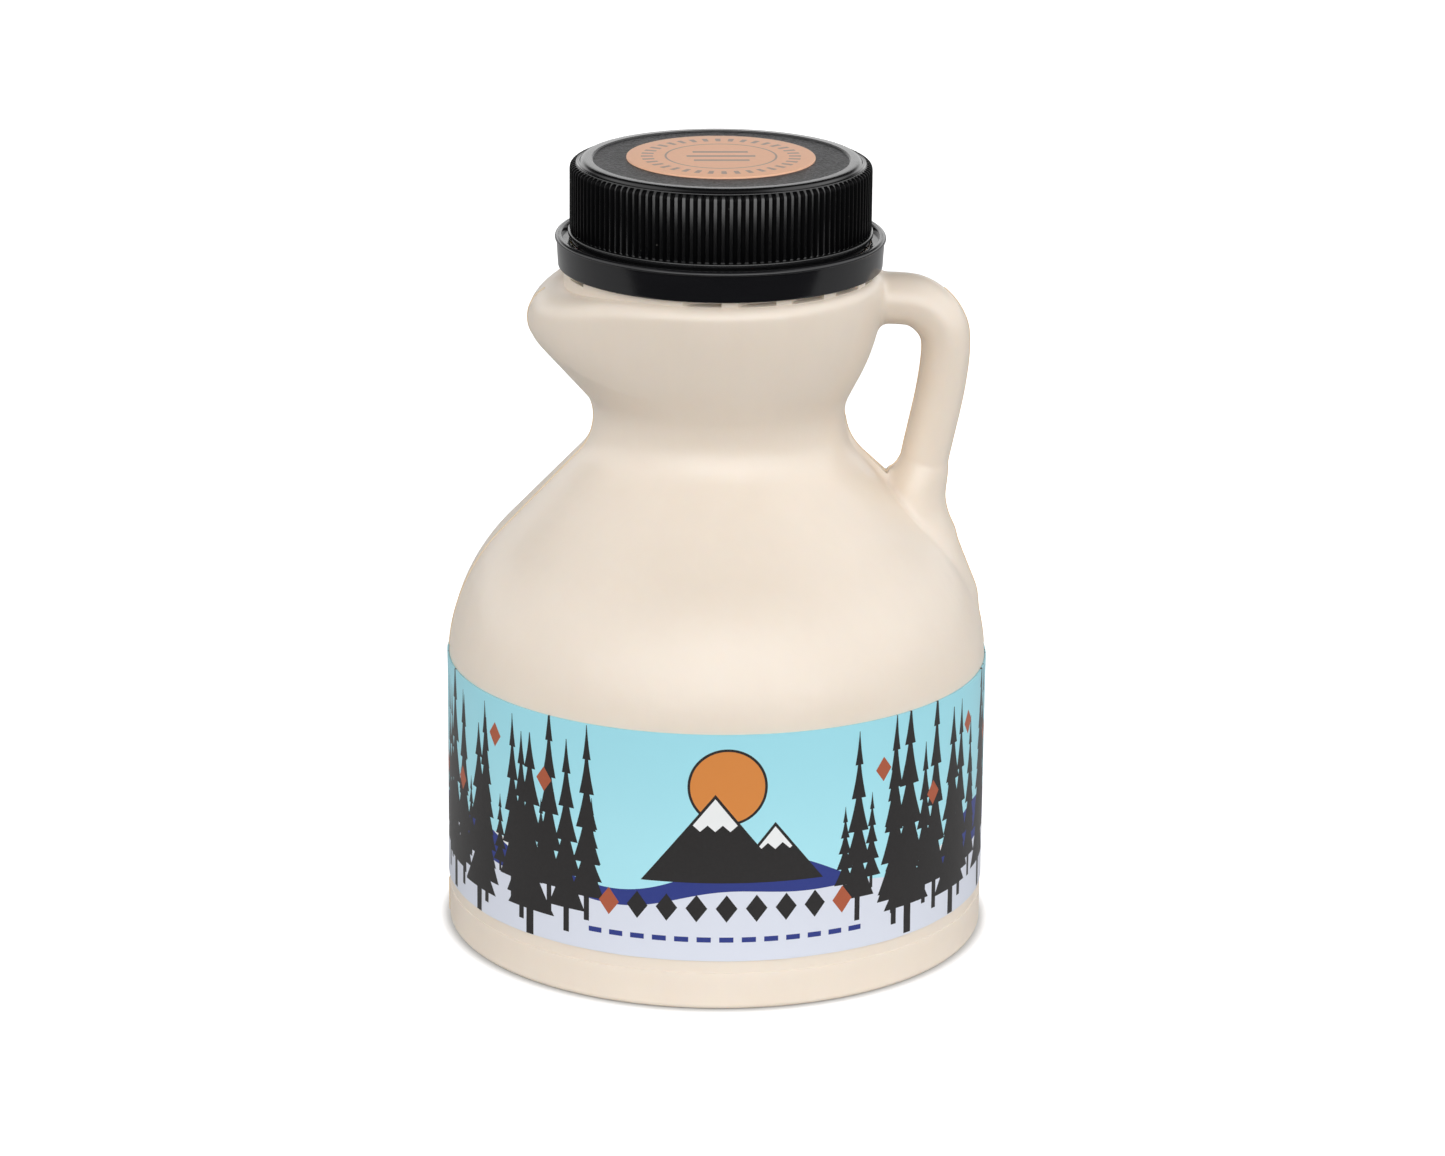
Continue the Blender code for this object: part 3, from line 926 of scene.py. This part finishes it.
def mould_seam(skin, finish):
    """The fine ridge where the two mould halves met, all along the skin's middle plane."""
    bm = bmesh.new()
    bm.from_mesh(skin)
    cut = bmesh.ops.bisect_plane(bm, geom=bm.verts[:] + bm.edges[:] + bm.faces[:], dist=1e-8,
                                 plane_co=(0, 0, 0), plane_no=(0, 1, 0))["geom_cut"]
    keep = {item for item in cut if isinstance(item, bmesh.types.BMEdge) and all(
        any(low < vert.co.z / MM < high for low, high in SEAM_SPANS) for vert in item.verts)}
    bmesh.ops.delete(bm, geom=bm.faces[:], context="FACES_ONLY")
    bmesh.ops.delete(bm, geom=[edge for edge in bm.edges if edge not in keep], context="EDGES")
    line = bpy.data.meshes.new("seam_line")
    bm.to_mesh(line)
    bm.free()
    tree, inputs = seam_tree()
    carrier = helper("seam_line", line)
    nodes = carrier.modifiers.new("bead", "NODES")
    nodes.node_group = tree
    nodes[inputs["radius"]] = SEAM_R * MM
    nodes[inputs["finish"]] = finish
    return place_piece("mould_seam", evaluated(carrier), finish, "jug")


def cap_shell(finish):
    """Cup of the screw cap: lip, plain wall behind the ribs, collar, rim and sunk disc."""
    lip_r = cap_high.x
    skirt_z = cap_low.z
    top = cap_high.z - RIM_BELOW_TOP
    outline = np.vstack((
        [(CAP_INNER_R, jug_high.z + 0.3), (CAP_INNER_R, skirt_z), (SKIRT_R - 0.1, skirt_z)],
        [(SKIRT_R, skirt_z + 0.1), (SKIRT_R, CAP_LIP_LOW_Z)],
        arc((lip_r - 0.1, CAP_LIP_LOW_Z + 0.1), 0.1, -pi / 2, 0.0, 3),
        arc((lip_r - 0.12, CAP_LIP_TOP_Z - 0.12), 0.12, 0.0, pi / 2, 3),
        [(CAP_WALL_R + 0.08, CAP_LIP_TOP_Z + 0.04), (CAP_WALL_R, CAP_LIP_TOP_Z + 0.15)],
        [(CAP_WALL_R, RIB_TOP_Z), (CAP_WALL_R - 0.07, RIB_TOP_Z + 0.2)],
        [(CAP_WALL_R - 0.32, RIB_TOP_Z + 0.5)],
        arc((COLLAR_R - 0.12, COLLAR_Z - 0.12), 0.12, 0.0, radians(80.0), 5),
        [(COLLAR_R - 0.24, COLLAR_Z - 0.05), (COLLAR_R - 0.36, COLLAR_Z - 0.06)],
        [(COLLAR_R - 0.45, COLLAR_Z - 0.02)],
        [(RIM_R, top - 0.3), (RIM_R - 0.12, top - 0.16), (RIM_R - 0.3, top - 0.06)],
        [(RIM_R - 0.5, top - 0.02), (RIM_R - 0.8, top - 0.01), (RIM_INNER_R + 0.14, top)],
        arc((RIM_INNER_R + 0.1, top - 0.1), 0.1, pi / 2, pi, 3),
        [(RIM_INNER_R, DISC_Z + 0.08)],
        arc((RIM_INNER_R - 0.08, DISC_Z + 0.08), 0.08, 0.0, -pi / 2, 3),
        [(r, DISC_Z) for r in (15.0, 12.0, 8.0, 4.0, 1.0)]))
    return place_piece("cap_shell", to_mesh("cap_shell", turned(outline, 360)), finish, "cap")


def rib():
    """One grip rib: a low rounded bar that bends in at its top and runs out."""
    low = CAP_LIP_TOP_Z + 0.05
    top = RIB_TOP_Z
    course = [(0.0, low, 0.0), (0.0, low + 0.06, 0.6), (0.0, low + 0.2, 1.0), (0.0, low + 3.0, 1.0),
              (0.0, top - 0.1, 1.0), (-0.06, top + 0.25, 1.0), (-0.2, top + 0.46, 0.9),
              (-0.36, top + 0.6, 0.6), (-0.46, top + 0.66, 0.0)]
    across = np.linspace(-1.0, 1.0, 7)
    bm = bmesh.new()
    rows = []
    for inward, z, tall in course:
        foot = CAP_WALL_R + inward
        row = []
        for s in across:
            r = foot + RIB_HEIGHT * tall * (1 - abs(s) ** RIB_SQUARENESS) - 0.05 * abs(s) ** 6
            row.append(bm.verts.new((r, s * RIB_WIDTH / 2, z)))
        for s in (0.8, -0.8):
            row.append(bm.verts.new((foot - 0.1, s * RIB_WIDTH / 2, z)))
        rows.append(row)
    for lower, upper in zip(rows, rows[1:]):
        bridge(bm, lower, upper)
    bm.faces.new(rows[0])
    bm.faces.new(rows[-1])
    return to_mesh("rib", bm)


def round_tree():
    """Geometry nodes that set copies of a piece evenly round the axis, as one mesh."""
    tree = bpy.data.node_groups.new("round_the_axis", "GeometryNodeTree")
    face = tree.interface
    face.new_socket("Geometry", in_out="INPUT", socket_type="NodeSocketGeometry")
    count = face.new_socket("Count", in_out="INPUT", socket_type="NodeSocketInt")
    first = face.new_socket("First angle", in_out="INPUT", socket_type="NodeSocketFloat")
    finish = face.new_socket("Finish", in_out="INPUT", socket_type="NodeSocketMaterial")
    face.new_socket("Geometry", in_out="OUTPUT", socket_type="NodeSocketGeometry")
    nodes, links = tree.nodes, tree.links
    given = nodes.new("NodeGroupInput")
    result = nodes.new("NodeGroupOutput")
    points = nodes.new("GeometryNodePoints")
    links.new(given.outputs["Count"], points.inputs["Count"])
    step = nodes.new("ShaderNodeMath")
    step.operation = "DIVIDE"
    step.inputs[0].default_value = 2 * pi
    links.new(given.outputs["Count"], step.inputs[1])
    angle = nodes.new("ShaderNodeMath")
    angle.operation = "MULTIPLY_ADD"
    links.new(nodes.new("GeometryNodeInputIndex").outputs[0], angle.inputs[0])
    links.new(step.outputs[0], angle.inputs[1])
    links.new(given.outputs["First angle"], angle.inputs[2])
    turn = nodes.new("ShaderNodeCombineXYZ")
    links.new(angle.outputs[0], turn.inputs["Z"])
    copies = nodes.new("GeometryNodeInstanceOnPoints")
    links.new(points.outputs[0], copies.inputs["Points"])
    links.new(given.outputs["Geometry"], copies.inputs["Instance"])
    links.new(turn.outputs[0], copies.inputs["Rotation"])
    real = nodes.new("GeometryNodeRealizeInstances")
    links.new(copies.outputs[0], real.inputs[0])
    coat = nodes.new("GeometryNodeSetMaterial")
    links.new(real.outputs[0], coat.inputs["Geometry"])
    links.new(given.outputs["Finish"], coat.inputs["Material"])
    links.new(coat.outputs[0], result.inputs[0])
    return tree, {"count": count.identifier, "first": first.identifier, "finish": finish.identifier}


def set_round(mesh, count, first, finish):
    """Copies of the mesh round the axis, joined into one."""
    tree, inputs = round_tree()
    carrier = helper("carrier", mesh)
    nodes = carrier.modifiers.new("round", "NODES")
    nodes.node_group = tree
    nodes[inputs["count"]] = count
    nodes[inputs["first"]] = first
    nodes[inputs["finish"]] = finish
    return evaluated(carrier)


def cap_ribs(finish):
    mesh = set_round(rib(), RIB_COUNT, 0.0, finish)
    return place_piece("cap_ribs", mesh, finish, "cap", sharp=50.0)


def tamper_band(finish):
    """Glossy ring: a low flange round its top, its wall drawn in a little below."""
    top = band_high.z
    low = band_low.z
    out = band_high.x
    under = top - BAND_FLANGE
    outline = np.vstack((
        [(BAND_INNER_R, low + 0.1), (BAND_INNER_R + 0.1, low)],
        arc((BAND_LOW_R - 0.1, low + 0.1), 0.1, -pi / 2, 0.0, 3),
        [(BAND_LOW_R + 0.01, low + 0.3), (out - 0.2, under - 0.2), (out - 0.2, under)],
        [(out - 0.03, under + 0.01), (out, under + 0.05)],
        arc((out - 0.42, top - 0.42), 0.42, 0.0, pi / 2, 8),
        [(out - 0.5, top), (out - 0.55, top - 0.06), (BAND_INNER_R + 0.16, top - 0.07)],
        arc((BAND_INNER_R + 0.15, top - 0.22), 0.15, pi / 2, pi, 4),
        [(BAND_INNER_R, BAND_BEAD_Z + 0.3), (BAND_BEAD_R, BAND_BEAD_Z + 0.25)],
        [(BAND_BEAD_R, BAND_BEAD_Z), (BAND_INNER_R, BAND_BEAD_Z)]))
    mesh = to_mesh("tamper_band", turned(outline, 288, closed=True))
    return place_piece("tamper_ring", mesh, finish, "tamper_band", sharp=40.0)


def band_tabs(finish):
    """Thin tabs that tie the band to the cap's lip until it is first opened."""
    bm = bmesh.new()
    bmesh.ops.create_cube(bm, size=1.0)
    bmesh.ops.scale(bm, vec=(1.0, 0.9, 0.3), verts=bm.verts)
    bmesh.ops.bevel(bm, geom=bm.edges[:], offset=0.08, segments=2, affect="EDGES")
    bmesh.ops.translate(bm, vec=(20.9, 0.0, band_high.z - 0.62), verts=bm.verts)
    mesh = set_round(to_mesh("tab", bm), TAB_COUNT, pi / TAB_COUNT, finish)
    return place_piece("band_tabs", mesh, finish, "tamper_band")


LABEL_OVERLAP = 9.0
FILM = 0.1


def label(finish):
    """Printed film wrapped once round the body, its end lying over its start at the back."""
    outer = label_high.x
    under = BODY_R + 0.02
    half = pi * outer
    stretch = np.linspace(-half, half + LABEL_OVERLAP, 481)
    levels = np.linspace(label_low.z, label_high.z, 13)
    bm = bmesh.new()
    marks = bm.verts.layers.float.new("along")
    columns = []
    for s in stretch:
        angle = -pi / 2 + s / outer
        lap = np.clip((s - half + 2.0) / 2.0, 0.0, 1.0)
        lift = FILM * lap * lap * (3 - 2 * lap)
        column = []
        for inside in (False, True):
            for z in (reversed(levels) if inside else levels):
                edge = min(z - levels[0], levels[-1] - z)
                loose = 0.03 * np.exp(-edge / 1.2) * (1 + np.sin(s * 0.31) + 0.6 * np.sin(s * 0.83 + 1.0))
                if not inside:
                    r = outer - FILM + lift + FILM * 0.5 + loose
                elif lift > 0:
                    r = outer - FILM + lift
                else:
                    r = under
                vert = bm.verts.new((r * cos(angle), r * sin(angle), z))
                vert[marks] = s
                column.append(vert)
        columns.append(column)
    for left, right in zip(columns, columns[1:]):
        bridge(bm, left, right)
    bm.faces.new(columns[0])
    bm.faces.new(columns[-1])
    return place_piece("label_film", to_mesh("label_film", bm), finish, "label")


STICKER_BACK = 0.9


def cap_sticker(finish):
    """Thin round paper sticker on the disc, a little towards the back."""
    low = DISC_Z - 0.02
    high = sticker_high.z - 0.05
    outline = np.vstack((
        [(sticker_high.x, low)],
        arc((sticker_high.x - 0.08, high - 0.08), 0.08, 0.0, pi / 2, 3),
        [(r, high) for r in (9.0, 6.0, 3.0, 1.0)]))
    bm = turned(outline, 180)
    bmesh.ops.translate(bm, vec=(0.0, STICKER_BACK, 0.0), verts=bm.verts)
    return place_piece("sticker_paper", to_mesh("sticker", bm), finish, "cap_sticker")


# The photograph's camera, in the jug's own frame
FRAME_WIDTH = 1445
FOCAL_PIXELS = 5086.8
SENSOR = 36.0
CAMERA_DISTANCE = 664.5
CAMERA_HEIGHT = 256.6
JUG_TURN = radians(2.5)
CAMERA_YAW = radians(-2.56)
CAMERA_PITCH = radians(-17.38)
CAMERA_ROLL = radians(-0.54)


def camera():
    """Long lens from a little above, as in the photograph."""
    lens = bpy.data.cameras.new("camera")
    lens.lens = FOCAL_PIXELS * SENSOR / FRAME_WIDTH
    lens.sensor_width = SENSOR
    lens.sensor_fit = "HORIZONTAL"
    lens.clip_start = 0.01
    lens.clip_end = 10.0
    made = bpy.data.objects.new("camera", lens)
    bpy.context.scene.collection.objects.link(made)
    spot = Vector((-CAMERA_DISTANCE * sin(JUG_TURN), -CAMERA_DISTANCE * cos(JUG_TURN), CAMERA_HEIGHT)) * MM
    turn = (Matrix.Rotation(CAMERA_YAW, 4, "Z") @ Matrix.Rotation(CAMERA_PITCH, 4, "X")
            @ Matrix.Rotation(CAMERA_ROLL, 4, "Y") @ Matrix.Rotation(pi / 2, 4, "X"))
    made.matrix_world = Matrix.Translation(spot) @ turn
    bpy.context.scene.camera = made


FLOOR_FRONT_Y = -0.125
FLOOR_SIDE = 0.9
FLOOR_BACK_Y = 1.2
# How far out from the foot the painted contact shadow fades, in millimetres
SHADOW_WIDTH = 3.0


def floor():
    """Pale paper that ends in front of the jug, with a painted glow that lifts it to white for the camera,
    left out round the foot as a painted contact shadow.
    """
    bm = bmesh.new()
    corners = [bm.verts.new((x, y, 0.0)) for x, y in (
        (-FLOOR_SIDE, FLOOR_FRONT_Y), (FLOOR_SIDE, FLOOR_FRONT_Y),
        (FLOOR_SIDE, FLOOR_BACK_Y), (-FLOOR_SIDE, FLOOR_BACK_Y))]
    bm.faces.new(corners)
    mesh = bpy.data.meshes.new("floor")
    bm.to_mesh(mesh)
    bm.free()
    paint = Paint("floor_paper", Roughness=0.9, Specular_IOR_Level=0.1, Emission_Color=(1.0, 1.0, 1.0, 1.0))
    seen = paint.node("ShaderNodeLightPath", output="Is Camera Ray")
    x, y, z = paint.parts(paint.place())
    out = paint.math("SQRT", x * x + y * y) / MM
    # The glow fades in past the foot's edge; inside that ring the floor is left unlit as a painted contact
    # shadow.
    clear = paint.between(out, CONTACT_R, CONTACT_R + SHADOW_WIDTH)
    painted_glow = seen * clear * FLOOR_GLOW
    mesh.materials.append(paint.finish(Base_Color=(FLOOR_GREY,) * 3, Emission_Strength=painted_glow))
    made = bpy.data.objects.new("floor", mesh)
    bpy.context.scene.collection.objects.link(made)


def softbox(name, spot, aim, width, height, watts):
    """A large soft light that faces a point."""
    lamp = bpy.data.lights.new(name, "AREA")
    lamp.shape = "RECTANGLE"
    lamp.size = width
    lamp.size_y = height
    lamp.energy = watts
    made = bpy.data.objects.new(name, lamp)
    bpy.context.scene.collection.objects.link(made)
    direction = Vector(aim) - Vector(spot)
    made.matrix_world = Matrix.Translation(spot) @ direction.to_track_quat("-Z", "Y").to_matrix().to_4x4()


# How bright the light is in front, behind, on the left and on the right, by height
LOW_WALL = (2.2, 1.4, 1.05, 1.2)
MIDDLE_WALL = (1.95, 0.0, 1.2, 1.5)
HIGH_WALL = (0.2, 0.0, 0.7, 1.0)
KEY_WATTS = 1.2
FLOOR_GREY = 0.62
# Floor colour, and the strength of its camera-only painted glow
FLOOR_GLOW = 0.85


def studio():
    """White walls, brightest in front, a dark ceiling, and one large soft light."""
    around = Surround("studio")
    x, y, z = around.parts(around.node("ShaderNodeTexCoord"))
    way = y / around.math("SQRT", x * x + y * y + 1e-6)
    front = around.between(way, -0.85, -0.35, 1.0, 0.0)
    behind = around.between(way, 0.35, 0.85)
    side = 1.0 - front - behind
    on_right = around.between(x, -0.05, 0.05)
    low = around.between(z, -0.04, 0.08)
    middle = around.between(z, 0.2, 0.4)
    high = around.between(z, 0.55, 0.8)
    top = around.between(z, 0.85, 0.97)

    def wall(strengths):
        ahead, back, left, right = strengths
        return front * ahead + behind * back + side * (left + on_right * (right - left))

    level = (low - middle) * wall(LOW_WALL)
    level += (middle - high) * wall(MIDDLE_WALL)
    level += (high - top) * wall(HIGH_WALL)
    seen = around.node("ShaderNodeLightPath", output="Is Camera Ray")
    around.finish(Color=(1.0, 1.0, 1.0), Strength=around.math("MAXIMUM", level, seen))
    softbox("key_light", (0.08, -0.89, 0.86), (0.0, 0.0, 0.06), 0.9, 1.0, KEY_WATTS)
    scene = bpy.context.scene
    scene.view_settings.view_transform = "Standard"
    scene.view_settings.look = "None"


def main():
    camera()
    studio()
    floor()
    jug(jug_plastic())
    black = cap_plastic()
    cap_shell(black)
    cap_ribs(rib_plastic())
    ring_black = band_plastic()
    tamper_band(ring_black)
    band_tabs(ring_black)
    label(label_paper())
    cap_sticker(sticker_paper())


main()
